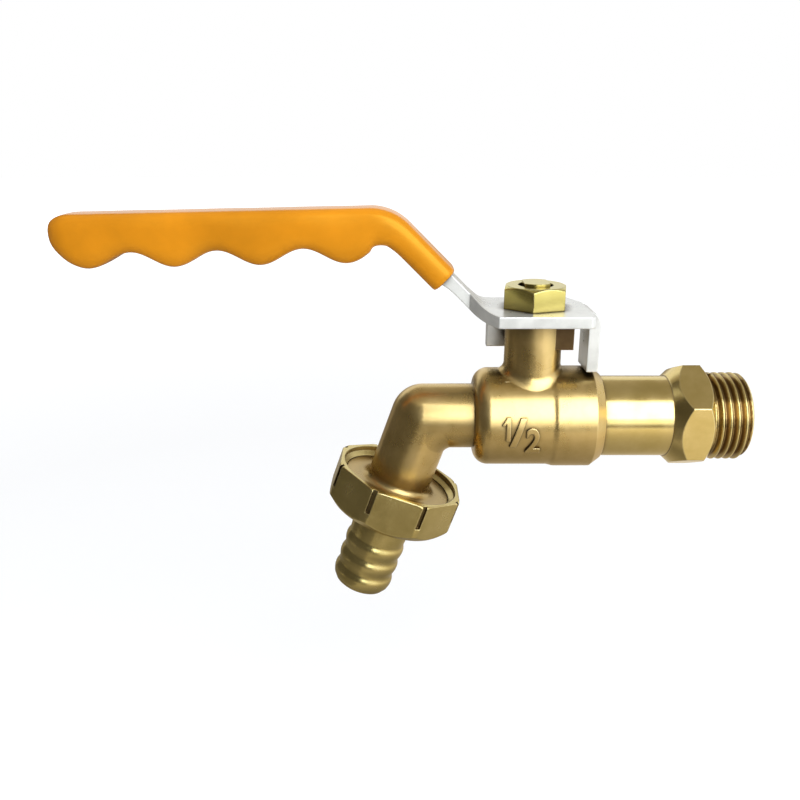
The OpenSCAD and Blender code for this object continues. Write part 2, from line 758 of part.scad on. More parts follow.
module union_nut() {
    // The thread ends below the counterbore, and a small chamfer leads from one to the other
    mouth_r = union_bore_r + union_mouth_cut;
    thread_top = collar_top - thread_over;
    flat_r = union_r - union_flat_cut;
    color(turned_brass) on_outlet() difference() {
        intersection() {
            rotate_extrude() polygon([
                [lip_bore_r, lip_s], [union_bore_r, lip_s], [union_bore_r, thread_top],
                [mouth_r, thread_top - union_lead], [mouth_r, union_top],
                [union_r - union_rim, union_top], [union_r, union_top + union_rim],
                [union_r, union_end - union_chamfer], [union_r - union_chamfer, union_end],
                [lip_bore_r, union_end]]);
            // Flats whose corners carry the notches
            rotate([0, 0, 180 / notch_count]) translate([0, 0, union_top - over])
                cylinder(r = flat_r / cos(180 / notch_count), h = union_h + 2 * over,
                         $fn = notch_count);
        }
        for (k = [0:notch_count - 1]) rotate([0, 0, (k + 0.5) * 360 / notch_count])
            translate([union_r - notch_depth, -notch_w / 2, union_top - over])
                cube([notch_depth + over, notch_w, notch_len + over]);
    }
}

module union_gasket() {
    color(nitrile) on_outlet(gasket_s) difference() {
        cylinder(r = tail_flange_r, h = gasket_t);
        translate([0, 0, -over]) cylinder(d = gasket_bore_d, h = gasket_t + 2 * over);
    }
}

module hose_tail() {
    root_r = barb_root_d / 2;
    crest_r = hose_d / 2;
    shank_r = shank_d / 2;
    first_crest = last_crest - (barb_count - 1) * barb_pitch;
    color(turned_brass) on_outlet() difference() {
        rotate_extrude() polygon(concat(
            [[0, flange_s], [tail_flange_r, flange_s], [tail_flange_r, lip_s],
             [shank_r, lip_s], [shank_r, first_crest - barb_pitch],
             [root_r, first_crest - barb_pitch * 0.75]],
            [for (k = [0:barb_count - 1]) let (c = first_crest + k * barb_pitch)
                each [[root_r, c - barb_pitch / 4 - barb_land], [crest_r, c - barb_land / 2],
                      [crest_r, c + barb_land / 2], [root_r, c + barb_pitch / 2]]],
            [[tip_d / 2, tail_end - tip_chamfer], [tip_d / 2 - tip_chamfer, tail_end],
             [0, tail_end]]));
        translate([0, 0, flange_s - over])
            cylinder(d = tail_bore_d, h = tail_end - flange_s + 2 * over);
    }
}

body();
inlet_tailpiece();
ball();
seat_inlet();
seat_outlet();
stem();
thrust_washer();
stem_o_ring_lower();
stem_o_ring_upper();
lever();
grip_sleeve();
handle_nut();
union_nut();
union_gasket();
hose_tail();
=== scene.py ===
import math

import bpy
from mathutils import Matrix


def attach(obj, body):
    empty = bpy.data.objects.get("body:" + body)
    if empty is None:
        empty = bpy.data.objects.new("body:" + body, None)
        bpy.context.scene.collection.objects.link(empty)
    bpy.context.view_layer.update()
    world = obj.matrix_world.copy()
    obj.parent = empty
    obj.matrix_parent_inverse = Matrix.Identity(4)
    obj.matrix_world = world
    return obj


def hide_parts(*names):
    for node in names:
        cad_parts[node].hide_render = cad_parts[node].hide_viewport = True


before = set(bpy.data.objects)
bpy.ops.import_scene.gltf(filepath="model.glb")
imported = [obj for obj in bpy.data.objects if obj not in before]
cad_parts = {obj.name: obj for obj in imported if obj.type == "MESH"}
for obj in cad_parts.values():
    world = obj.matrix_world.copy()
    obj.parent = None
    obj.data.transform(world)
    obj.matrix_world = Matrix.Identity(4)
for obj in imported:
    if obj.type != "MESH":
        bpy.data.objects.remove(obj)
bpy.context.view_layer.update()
bpy.ops.object.select_all(action="DESELECT")
mm = 0.001

# Camera: a short lens close to the tap, looking along +Y and down, square to the inlet axis.
# The tap is 160 mm long and 200 mm away, so the near edge of each round piece shows larger.
camera_pitch = math.radians(18.1)
camera_away = 200 * mm
camera_aim = (-72.3 * mm, 0.0, 3.9 * mm)
bpy.ops.object.camera_add(
    location=(
        camera_aim[0],
        camera_aim[1] - camera_away * math.cos(camera_pitch),
        camera_aim[2] + camera_away * math.sin(camera_pitch),
    ),
    rotation=(math.radians(90) - camera_pitch, 0, 0),
)
camera = bpy.context.object
camera.name = "camera"
camera.data.sensor_fit = "HORIZONTAL"
camera.data.sensor_width = 36
camera.data.lens = 37.35
camera.data.clip_start = 10 * mm
camera.data.clip_end = 20
bpy.context.scene.camera = camera
bpy.context.scene.view_settings.view_transform = "Standard"

# Studio: white surroundings, a pale floor under the hanging tap, and two soft boxes: a wide one
# above and right of the camera, a low one nearer by. Cards that only reflections see, in warm
# greys, give the round brass its dark and golden sides.
world = bpy.data.worlds.new("studio")
bpy.context.scene.world = world
world.use_nodes = True
nodes, links = world.node_tree.nodes, world.node_tree.links
nodes.clear()


def seen_directly(nodes, links):
    """1 on rays from the camera and on those that metal or glass sends on, 0 on diffuse ones."""
    path = nodes.new("ShaderNodeLightPath")
    seen = nodes.new("ShaderNodeMath")
    seen.operation = "MAXIMUM"
    links.new(path.outputs["Is Camera Ray"], seen.inputs[0])
    links.new(path.outputs["Is Glossy Ray"], seen.inputs[1])
    either = nodes.new("ShaderNodeMath")
    either.operation = "MAXIMUM"
    links.new(seen.outputs[0], either.inputs[0])
    links.new(path.outputs["Is Transmission Ray"], either.inputs[1])
    return either.outputs[0]


fill = nodes.new("ShaderNodeBackground")
fill.inputs["Color"].default_value = (0.97, 0.98, 1.0, 1)
sky = nodes.new("ShaderNodeTexCoord")
height = nodes.new("ShaderNodeSeparateXYZ")
ceiling = nodes.new("ShaderNodeMapRange")
ceiling.inputs["From Min"].default_value = -0.2
ceiling.inputs["From Max"].default_value = 1.0
ceiling.inputs["To Min"].default_value = 0.20
ceiling.inputs["To Max"].default_value = 0.95
links.new(sky.outputs["Generated"], height.inputs[0])
links.new(height.outputs["Z"], ceiling.inputs["Value"])
links.new(ceiling.outputs["Result"], fill.inputs["Strength"])
white = nodes.new("ShaderNodeBackground")
white.inputs["Color"].default_value = (1, 1, 1, 1)
white.inputs["Strength"].default_value = 1.0
either = nodes.new("ShaderNodeMixShader")
out = nodes.new("ShaderNodeOutputWorld")
links.new(seen_directly(nodes, links), either.inputs["Fac"])
links.new(fill.outputs[0], either.inputs[1])
links.new(white.outputs[0], either.inputs[2])
links.new(either.outputs[0], out.inputs["Surface"])

floor_z = -110 * mm
bpy.ops.mesh.primitive_plane_add(size=6, location=(-0.07, 0, floor_z))
floor = bpy.context.object
floor.name = "floor"
pale = bpy.data.materials.new("pale_floor")
pale.use_nodes = True
nodes, links = pale.node_tree.nodes, pale.node_tree.links
nodes.clear()
paper = nodes.new("ShaderNodeBsdfDiffuse")
paper.inputs["Color"].default_value = (0.55, 0.55, 0.55, 1)
glow = nodes.new("ShaderNodeEmission")
where = nodes.new("ShaderNodeTexCoord")
distance = nodes.new("ShaderNodeVectorMath")
distance.operation = "LENGTH"
far_off = nodes.new("ShaderNodeMapRange")
far_off.inputs["From Min"].default_value = 0.3
far_off.inputs["From Max"].default_value = 1.5
far_off.inputs["To Min"].default_value = 0.46
far_off.inputs["To Max"].default_value = 0.95
lift = nodes.new("ShaderNodeMath")
lift.operation = "MULTIPLY"
both = nodes.new("ShaderNodeAddShader")
out = nodes.new("ShaderNodeOutputMaterial")
links.new(where.outputs["Object"], distance.inputs[0])
links.new(distance.outputs["Value"], far_off.inputs["Value"])
links.new(far_off.outputs["Result"], lift.inputs[1])
links.new(seen_directly(nodes, links), lift.inputs[0])
links.new(lift.outputs[0], glow.inputs["Strength"])
links.new(paper.outputs[0], both.inputs[0])
links.new(glow.outputs[0], both.inputs[1])
links.new(both.outputs[0], out.inputs["Surface"])
floor.data.materials.append(pale)


def round_the_tap(elevation, azimuth, away):
    """Place and turn of a sheet that faces the tap. Azimuth 0 is behind the camera, + is right."""
    up, side = math.radians(elevation), math.radians(azimuth)
    place = (
        camera_aim[0] + away * math.cos(up) * math.sin(side),
        camera_aim[1] - away * math.cos(up) * math.cos(side),
        camera_aim[2] + away * math.sin(up),
    )
    return {"location": place, "rotation": (math.radians(90) - up, 0, side)}


def soft_box(name, size_x, size_y, elevation, azimuth, away, radiance, tint):
    """A rectangular lamp of an even brightness, where 1 is the brightness of white paper."""
    bpy.ops.object.light_add(type="AREA", **round_the_tap(elevation, azimuth, away))
    lamp = bpy.context.object
    lamp.name = name
    lamp.data.shape = "RECTANGLE"
    lamp.data.size = size_x
    lamp.data.size_y = size_y
    lamp.data.energy = radiance * math.pi * size_x * size_y
    lamp.data.color = tint
    lamp.visible_camera = False
    return lamp


soft_box("window_light", 0.90, 0.67, 32, 27, 0.75, 3.3, (0.90, 0.95, 1.0))
soft_box("sill_light", 0.39, 0.09, 4, 27, 0.33, 0.7, (0.92, 0.96, 1.0))


def card(name, size_x, size_y, middle, rim, place):
    """A card that only mirror-like reflections see, with one grey in its middle and one round it."""
    bpy.ops.mesh.primitive_plane_add(size=1, **place)
    sheet = bpy.context.object
    sheet.name = name
    sheet.scale = (size_x, size_y, 1)
    sheet.visible_camera = False
    sheet.visible_diffuse = False
    sheet.visible_shadow = False
    sheet.visible_transmission = False
    board = bpy.data.materials.new(name)
    board.use_nodes = True
    nodes, links = board.node_tree.nodes, board.node_tree.links
    nodes.clear()
    where = nodes.new("ShaderNodeTexCoord")
    from_middle = nodes.new("ShaderNodeVectorMath")
    from_middle.operation = "LENGTH"
    grade = nodes.new("ShaderNodeMapRange")
    grade.inputs["From Max"].default_value = 0.5
    grade.inputs["To Min"].default_value = middle
    grade.inputs["To Max"].default_value = rim
    tone = nodes.new("ShaderNodeEmission")
    tone.inputs["Color"].default_value = (1.0, 0.90, 0.76, 1)
    out = nodes.new("ShaderNodeOutputMaterial")
    links.new(where.outputs["Object"], from_middle.inputs[0])
    links.new(from_middle.outputs["Value"], grade.inputs["Value"])
    links.new(grade.outputs["Result"], tone.inputs["Strength"])
    links.new(tone.outputs[0], out.inputs["Surface"])
    sheet.data.materials.append(board)
    return sheet


card("grey_card_over", 1.3, 0.75, 0.30, 0.44, round_the_tap(100, 0, 0.42))
card("grey_card_under", 0.66, 0.64, 0.19, 1.20, round_the_tap(-90, 0, 0.105))
card("dark_card_under", 0.24, 0.56, 0.14, 0.22, {"location": (-0.245, 0, floor_z + 0.011)})
card("grey_card_front", 0.56, 0.40, 0.28, 0.28, {"location": (-0.02, -0.545, floor_z + 0.008)})
for number, azimuth in enumerate((-24, -67, -110)):
    card("dark_card_" + str(number), 0.25, 0.36, 0.075, 0.11, round_the_tap(17, azimuth, 0.25))
card("dark_card_low", 0.044, 0.055, 0.10, 0.16, round_the_tap(-16.8, 8, 0.25))
card("dark_card_front", 0.13, 0.17, 0.20, 0.46, {"location": (-0.085, -0.19, floor_z + 0.014)})
card("brown_card_left", 0.22, 0.15, 0.12, 0.40, round_the_tap(-6.4, -155, 0.25))
card("brown_card_right", 0.20, 0.15, 0.25, 0.50, round_the_tap(-6.4, 155, 0.27))

# Body: one brass casting with the ball chamber, the stem's neck, the bent spout and the outlet collar.
# It is blasted, then polished by hand, so it is bright where it is round and open; where it is closed
# in, patina and painted shade darken it.


def merged(node, title, weld):
    """A copy of a CAD piece whose loose triangles are joined up at their corners."""
    piece = bpy.data.objects.new(title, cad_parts[node].data.copy())
    bpy.context.scene.collection.objects.link(piece)
    bpy.ops.object.select_all(action="DESELECT")
    piece.select_set(True)
    bpy.context.view_layer.objects.active = piece
    bpy.ops.object.mode_set(mode="EDIT")
    bpy.ops.mesh.select_all(action="SELECT")
    bpy.ops.mesh.remove_doubles(threshold=weld)
    bpy.ops.object.mode_set(mode="OBJECT")
    return piece


def softened(node, title, radius, angle=35, weld=0.002 * mm):
    """A copy of a CAD piece with flat faces made whole and its sharp edges broken by a radius."""
    piece = merged(node, title, weld)
    bpy.ops.object.mode_set(mode="EDIT")
    bpy.ops.mesh.select_all(action="SELECT")
    bpy.ops.mesh.dissolve_limited(angle_limit=math.radians(0.5))
    bpy.ops.mesh.select_all(action="SELECT")
    bpy.ops.mesh.tris_convert_to_quads(face_threshold=math.radians(15), shape_threshold=math.radians(60))
    bpy.ops.object.mode_set(mode="OBJECT")
    edges = piece.modifiers.new("edges", "BEVEL")
    edges.width = radius
    edges.segments = 3
    edges.limit_method = "ANGLE"
    edges.angle_limit = math.radians(angle)
    edges.miter_outer = "MITER_ARC"
    bpy.ops.object.modifier_apply(modifier="edges")
    smooth(piece)
    return piece


def smooth(piece, angle=35):
    """Smooth shading over soft bends, with flat faces kept flat."""
    bpy.ops.object.select_all(action="DESELECT")
    piece.select_set(True)
    bpy.context.view_layer.objects.active = piece
    bpy.ops.object.shade_smooth_by_angle(angle=math.radians(angle))
    faces = piece.modifiers.new("faces", "WEIGHTED_NORMAL")
    faces.keep_sharp = True
    bpy.ops.object.modifier_apply(modifier="faces")


def cut(piece, tool, operation, overlaps=False):
    """Cuts one closed mesh by another, or joins them, and takes the tool away."""
    work = piece.modifiers.new("cut", "BOOLEAN")
    work.operation = operation
    work.solver = "EXACT"
    work.use_self = overlaps
    work.object = tool
    bpy.ops.object.select_all(action="DESELECT")
    piece.select_set(True)
    bpy.context.view_layer.objects.active = piece
    bpy.ops.object.modifier_apply(modifier="cut")
    bpy.data.objects.remove(tool)


def turned(name, outline, sides=96):
    """A ring round the Z axis: a circle drawn out to each radius and height, closed on itself."""
    radius, height = outline[0]
    bpy.ops.mesh.primitive_circle_add(vertices=sides, radius=radius, location=(0, 0, height))
    ring = bpy.context.object
    ring.name = name
    bpy.ops.object.mode_set(mode="EDIT")
    bpy.ops.mesh.select_all(action="SELECT")
    for next_radius, next_height in outline[1:] + outline[:1]:
        grow = next_radius / radius
        bpy.ops.mesh.extrude_region_move(
            TRANSFORM_OT_translate={"value": (0, 0, next_height - height)}
        )
        bpy.ops.transform.resize(value=(grow, grow, 1), center_override=(0, 0, next_height))
        radius, height = next_radius, next_height
    bpy.ops.mesh.select_all(action="SELECT")
    bpy.ops.mesh.remove_doubles(threshold=0.001 * mm)
    bpy.ops.mesh.normals_make_consistent(inside=False)
    bpy.ops.object.mode_set(mode="OBJECT")
    bpy.ops.object.transform_apply()
    return ring


def new_group(name, ins, outs):
    """An empty shader node group with float, colour or vector sockets, given as (name, kind, value)."""
    group = bpy.data.node_groups.new(name, "ShaderNodeTree")
    kinds = {"float": "NodeSocketFloat", "color": "NodeSocketColor", "vector": "NodeSocketVector"}
    for title, kind, value in ins:
        socket = group.interface.new_socket(title, in_out="INPUT", socket_type=kinds[kind])
        if value is not None:
            socket.default_value = value
    for title, kind in outs:
        group.interface.new_socket(title, in_out="OUTPUT", socket_type=kinds[kind])
    return group, group.nodes.new("NodeGroupInput"), group.nodes.new("NodeGroupOutput")


# Worn edges: the difference between the rounded and the true normal, 1 on a sharp edge.
edge_group, given, result = new_group(
    "worn_edge", [("Reach", "float", 0.4 * mm)], [("Mask", "float"), ("Normal", "vector")]
)
nodes, links = edge_group.nodes, edge_group.links
rounded = nodes.new("ShaderNodeBevel")
rounded.samples = 6
true_normal = nodes.new("ShaderNodeNewGeometry")
alike = nodes.new("ShaderNodeVectorMath")
alike.operation = "DOT_PRODUCT"
spread = nodes.new("ShaderNodeMapRange")
spread.inputs["From Min"].default_value = 0.995
spread.inputs["From Max"].default_value = 0.88
links.new(given.outputs["Reach"], rounded.inputs["Radius"])
links.new(rounded.outputs["Normal"], alike.inputs[0])
links.new(true_normal.outputs["Normal"], alike.inputs[1])
links.new(alike.outputs["Value"], spread.inputs["Value"])
links.new(spread.outputs["Result"], result.inputs["Mask"])
links.new(rounded.outputs["Normal"], result.inputs["Normal"])

# Grain of blasted or polished metal: a fine skin, a slow drift of tone and shallow dimples.
grain_group, given, result = new_group(
    "metal_grain",
    [("Vector", "vector", None), ("Fine", "float", 3500.0), ("Broad", "float", 160.0)],
    [("Height", "float"), ("Drift", "float")],
)
nodes, links = grain_group.nodes, grain_group.links
fine = nodes.new("ShaderNodeTexNoise")
fine.inputs["Detail"].default_value = 3
broad = nodes.new("ShaderNodeTexNoise")
broad.inputs["Detail"].default_value = 4
broad.inputs["Roughness"].default_value = 0.6
sum_up = nodes.new("ShaderNodeMath")
sum_up.operation = "MULTIPLY_ADD"
sum_up.inputs[1].default_value = 0.22
links.new(given.outputs["Vector"], fine.inputs["Vector"])
links.new(given.outputs["Vector"], broad.inputs["Vector"])
links.new(given.outputs["Fine"], fine.inputs["Scale"])
links.new(given.outputs["Broad"], broad.inputs["Scale"])
links.new(fine.outputs["Fac"], sum_up.inputs[0])
links.new(broad.outputs["Fac"], sum_up.inputs[2])
links.new(sum_up.outputs[0], result.inputs["Height"])
links.new(broad.outputs["Fac"], result.inputs["Drift"])

# Patina and painted shade: 1 deep in corners and cuts, where the buffing wheel doesn't reach, and where
# other parts close in, 0 on open metal. Ambient occlusion makes it, so it paints in the shade that falls
# there as well as the patina.
patina_and_painted_shade_group, given, result = new_group("patina_and_painted_shade", [("Reach", "float", 6 * mm)], [("Mask", "float")])
nodes, links = patina_and_painted_shade_group.nodes, patina_and_painted_shade_group.links
either = nodes.new("ShaderNodeMath")
either.operation = "MAXIMUM"
for number, (share, shut) in enumerate(((1.0, 0.50), (0.2, 0.50))):
    near = nodes.new("ShaderNodeMath")
    near.operation = "MULTIPLY"
    near.inputs[1].default_value = share
    open_sky = nodes.new("ShaderNodeAmbientOcclusion")
    open_sky.samples = 16
    depth_in = nodes.new("ShaderNodeMapRange")
    depth_in.inputs["From Min"].default_value = 0.94
    depth_in.inputs["From Max"].default_value = shut
    links.new(given.outputs["Reach"], near.inputs[0])
    links.new(near.outputs[0], open_sky.inputs["Distance"])
    links.new(open_sky.outputs["AO"], depth_in.inputs["Value"])
    links.new(depth_in.outputs["Result"], either.inputs[number])
links.new(either.outputs[0], result.inputs["Mask"])

# Turning marks: fine rings round the axis that the tool leaves, as noise along that axis alone.
turned_group, given, result = new_group(
    "turning_marks", [("Vector", "vector", None), ("Rings", "float", 3000.0)], [("Height", "float")]
)
nodes, links = turned_group.nodes, turned_group.links
split = nodes.new("ShaderNodeSeparateXYZ")
rings = nodes.new("ShaderNodeTexNoise")
rings.noise_dimensions = "1D"
rings.inputs["Detail"].default_value = 4
links.new(given.outputs["Vector"], split.inputs[0])
links.new(split.outputs["Z"], rings.inputs["W"])
links.new(given.outputs["Rings"], rings.inputs["Scale"])
links.new(rings.outputs["Fac"], result.inputs["Height"])


def metal(name, light, dark, edge, patina_and_shade_tone, rough, grain, marks=None, turn=(0, 0, 0), reach=6 * mm,
          metallic=1.0):
    """A metal that drifts between two tones, worn at edges, with patina and painted shade in corners and
    under other parts, with a grain.
    """
    made = bpy.data.materials.new(name)
    made.use_nodes = True
    nodes, links = made.node_tree.nodes, made.node_tree.links
    shader = nodes["Principled BSDF"]
    shader.inputs["Metallic"].default_value = metallic
    where = nodes.new("ShaderNodeTexCoord")
    frame_turn = nodes.new("ShaderNodeMapping")
    frame_turn.vector_type = "TEXTURE"
    frame_turn.inputs["Rotation"].default_value = turn
    links.new(where.outputs["Object"], frame_turn.inputs["Vector"])
    skin = nodes.new("ShaderNodeGroup")
    skin.node_tree = grain_group
    skin.inputs["Fine"].default_value = grain
    links.new(frame_turn.outputs["Vector"], skin.inputs["Vector"])
    rub = nodes.new("ShaderNodeGroup")
    rub.node_tree = edge_group
    tone = nodes.new("ShaderNodeValToRGB")
    tone.color_ramp.elements[0].position = 0.35
    tone.color_ramp.elements[0].color = (*dark, 1)
    tone.color_ramp.elements[1].position = 0.65
    tone.color_ramp.elements[1].color = (*light, 1)
    links.new(skin.outputs["Drift"], tone.inputs["Fac"])
    worn = nodes.new("ShaderNodeMix")
    worn.data_type = "RGBA"
    worn.inputs["B"].default_value = (*edge, 1)
    links.new(tone.outputs["Color"], worn.inputs["A"])
    links.new(rub.outputs["Mask"], worn.inputs["Factor"])
    # Patina and painted shade: the colour goes to the dark tone where the occlusion mask is high.
    patina_and_shade_node = nodes.new("ShaderNodeGroup")
    patina_and_shade_node.node_tree = patina_and_painted_shade_group
    patina_and_shade_node.inputs["Reach"].default_value = reach
    patina_and_shade_mix = nodes.new("ShaderNodeMix")
    patina_and_shade_mix.data_type = "RGBA"
    patina_and_shade_mix.inputs["B"].default_value = (*patina_and_shade_tone, 1)
    links.new(worn.outputs["Result"], patina_and_shade_mix.inputs["A"])
    links.new(patina_and_shade_node.outputs["Mask"], patina_and_shade_mix.inputs["Factor"])
    links.new(patina_and_shade_mix.outputs["Result"], shader.inputs["Base Color"])
    gloss = nodes.new("ShaderNodeMapRange")
    gloss.inputs["From Min"].default_value = 0.3
    gloss.inputs["From Max"].default_value = 0.7
    gloss.inputs["To Min"].default_value = rough[0]
    gloss.inputs["To Max"].default_value = rough[1]
    links.new(skin.outputs["Drift"], gloss.inputs["Value"])
    links.new(gloss.outputs["Result"], shader.inputs["Roughness"])
    bump = nodes.new("ShaderNodeBump")
    bump.inputs["Strength"].default_value = 0.3
    bump.inputs["Distance"].default_value = 0.02 * mm
    links.new(skin.outputs["Height"], bump.inputs["Height"])
    links.new(rub.outputs["Normal"], bump.inputs["Normal"])
    last = bump
    if marks:
        lines = nodes.new("ShaderNodeGroup")
        lines.node_tree = turned_group
        lines.inputs["Rings"].default_value = marks
        links.new(frame_turn.outputs["Vector"], lines.inputs["Vector"])
        ringed = nodes.new("ShaderNodeBump")
        ringed.inputs["Strength"].default_value = 0.2
        ringed.inputs["Distance"].default_value = 0.015 * mm
        links.new(lines.outputs["Height"], ringed.inputs["Height"])
        links.new(bump.outputs["Normal"], ringed.inputs["Normal"])
        last = ringed
    links.new(last.outputs["Normal"], shader.inputs["Normal"])
    return made


def dress(piece, material):
    """Gives a piece one material all over."""
    piece.data.materials.clear()
    piece.data.materials.append(material)


cast_brass = metal(
    "cast_brass", light=(0.73, 0.545, 0.235), dark=(0.63, 0.46, 0.175), edge=(0.82, 0.67, 0.35),
    patina_and_shade_tone=(0.20, 0.14, 0.06), rough=(0.25, 0.33), grain=2600.0,
)
# Painted shade: a near black, rougher brass for the faces that stand under the lever.
painted_shade_brass = metal(
    "painted_shade_brass", light=(0.14, 0.09, 0.04), dark=(0.09, 0.055, 0.025), edge=(0.30, 0.21, 0.10),
    patina_and_shade_tone=(0.05, 0.03, 0.015), rough=(0.40, 0.50), grain=2200.0,
)
casting = softened("body", "body_casting", 0.3 * mm)

# The solid's fillet at the neck's foot is flat, so it stands off the barrel's near and far side.
# It is cut away down to the barrel, and a fillet that follows the barrel takes its place.
stem_x = -41 * mm
barrel_r = 11.7 * mm
band_r = 12.1 * mm
ramp_start_x = -37.2 * mm
neck_r = 6.65 * mm
foot_r = 2.1 * mm
old_foot = turned("old_foot", [
    (neck_r - 0.05 * mm, 4 * mm), (neck_r + 3.2 * mm, 4 * mm),
    (neck_r + 3.2 * mm, 12.9 * mm), (neck_r - 0.05 * mm, 12.9 * mm),
])
old_foot.location = (stem_x, 0, 0)
bpy.ops.object.transform_apply()
barrel = turned("barrel", [
    (5 * mm, -56 * mm), (barrel_r + 0.02 * mm, -56 * mm), (barrel_r + 0.02 * mm, ramp_start_x),
    (band_r + 0.02 * mm, ramp_start_x + 1.5 * mm), (band_r + 0.02 * mm, -28 * mm), (5 * mm, -28 * mm),
])
barrel.rotation_euler = (0, math.radians(90), 0)
bpy.ops.object.transform_apply()
cut(old_foot, barrel, "DIFFERENCE")
cut(casting, old_foot, "DIFFERENCE", overlaps=True)
foot_outline = [
    (neck_r - 0.45 * mm, barrel_r - 0.8 * mm), (neck_r + foot_r, barrel_r - 0.8 * mm),
]
for step in range(0, 13):
    angle = math.radians(90 * step / 12)
    foot_outline.append((neck_r + 0.03 * mm + foot_r * (1 - math.sin(angle)),
                         barrel_r - 0.15 * mm + foot_r * (1 - math.cos(angle))))
foot_outline.append((neck_r + 0.02 * mm, barrel_r + 3.5 * mm))
foot_outline.append((neck_r - 0.45 * mm, barrel_r + 3.5 * mm))
neck_foot = turned("neck_foot", foot_outline)
bpy.ops.object.add(type="LATTICE", location=(0, 0, barrel_r))
saddle = bpy.context.object
saddle.scale = (0.025, 0.020, 0.010)
saddle.data.points_u, saddle.data.points_v, saddle.data.points_w = 2, 41, 2
saddle.data.interpolation_type_u = "KEY_LINEAR"
saddle.data.interpolation_type_v = "KEY_LINEAR"
saddle.data.interpolation_type_w = "KEY_LINEAR"
for point in saddle.data.points:
    side_y = point.co.y * saddle.scale.y
    fall = barrel_r - math.sqrt(barrel_r * barrel_r - side_y * side_y)
    point.co_deform.z = point.co.z - fall / saddle.scale.z
bend = neck_foot.modifiers.new("saddle", "LATTICE")
bend.object = saddle
bpy.ops.object.select_all(action="DESELECT")
neck_foot.select_set(True)
bpy.context.view_layer.objects.active = neck_foot
bpy.ops.object.modifier_apply(modifier="saddle")
bpy.data.objects.remove(saddle)
neck_foot.location = (stem_x, 0, 0)
bpy.ops.object.transform_apply()
cut(casting, neck_foot, "UNION", overlaps=True)
smooth(casting)
dress(casting, cast_brass)

# Painted shade: the two stop pads on the far side of the neck, under the lever, get a near black,
# rougher brass, as if in the lever's shadow.
casting.data.materials.append(painted_shade_brass)
for face in casting.data.polygons:
    middle = face.center
    if middle.z > 14.5 * mm and math.hypot(middle.x - stem_x, middle.y) > neck_r + 0.3 * mm:
        face.material_index = 1
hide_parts("body")
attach(casting, "valve_body")

# Size mark: the thread size, half an inch, stands raised on the near side of the barrel. It is
# cast with the body, so its sides run square to the mould's joint and its face is round.
mark_height = 0.5 * mm
mark_foot_y = -9.3 * mm


def raised_sign(text, left, right, low, high):
    """One sign as a bar along Y, whose front view fills the given box of X and Z."""
    bpy.ops.object.text_add()
    sign = bpy.context.object
    sign.data.body = text
    sign.data.extrude = 2 * mm
    sign.data.offset = 0.03
    sign.data.resolution_u = 6
    bpy.ops.object.convert(target="MESH")
    sign = bpy.context.object
    sign.name = "sign"
    xs = [v.co.x for v in sign.data.vertices]
    ys = [v.co.y for v in sign.data.vertices]
    wide = (right - left) / (max(xs) - min(xs))
    tall = (high - low) / (max(ys) - min(ys))
    sign.scale = (wide, tall, 1)
    sign.location = (left - wide * min(xs), mark_foot_y - 2 * mm, low - tall * min(ys))
    sign.rotation_euler = (math.radians(90), 0, 0)
    bpy.ops.object.transform_apply()
    return sign


signs = [
    raised_sign("I", -47.95 * mm, -46.95 * mm, -2.3 * mm, 3.4 * mm),
    raised_sign("/", -49.0 * mm, -47.2 * mm, 1.5 * mm, 3.3 * mm),
    raised_sign("/", -47.1 * mm, -43.2 * mm, -3.9 * mm, 3.3 * mm),
    raised_sign("2", -43.4 * mm, -40.0 * mm, -5.5 * mm, 1.0 * mm),
]
bpy.ops.object.select_all(action="DESELECT")
for sign in signs:
    sign.select_set(True)
bpy.context.view_layer.objects.active = signs[0]
bpy.ops.object.join()
size_mark = bpy.context.object
size_mark.name = "size_mark"
bpy.ops.object.mode_set(mode="EDIT")
bpy.ops.mesh.select_all(action="SELECT")
bpy.ops.mesh.remove_doubles(threshold=0.002 * mm)
bpy.ops.mesh.normals_make_consistent(inside=False)
bpy.ops.object.mode_set(mode="OBJECT")
bpy.ops.mesh.primitive_cylinder_add(
    vertices=160, radius=barrel_r + mark_height, depth=12 * mm,
    location=(-44 * mm, 0, 0), rotation=(0, math.radians(90), 0),
)
cut(size_mark, bpy.context.object, "INTERSECT", overlaps=True)
smooth(size_mark)
dress(size_mark, cast_brass)
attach(size_mark, "valve_body")

# Inlet tailpiece: a brass bar turned to a tube and a hexagon. The half inch pipe thread is cut
# last: a relief ring at the hexagon first, then one groove that winds out over the end.
turned_brass = metal(
    "turned_brass", light=(0.80, 0.635, 0.27), dark=(0.72, 0.565, 0.21), edge=(0.88, 0.76, 0.41),
    patina_and_shade_tone=(0.27, 0.18, 0.08), reach=2 * mm, rough=(0.16, 0.23), grain=3600.0, marks=2600.0,
    turn=(0, math.radians(90), 0),
)
tailpiece = softened("inlet_tailpiece", "threaded_tailpiece", 0.2 * mm)
thread_pitch = 1.814 * mm
thread_r = 10.4775 * mm
thread_root_r = 9.3155 * mm
relief_r = 9.6 * mm
relief_len = 1.2 * mm
thread_turns = 6
first_groove_x = 0.95 * mm


relief = turned("relief", [
    (relief_r, -0.02 * mm), (thread_r + 0.5 * mm, -0.02 * mm),
    (thread_r + 0.5 * mm, relief_len), (relief_r, relief_len),
])
relief.rotation_euler = (0, math.radians(90), 0)
bpy.ops.object.transform_apply()
cut(tailpiece, relief, "DIFFERENCE")

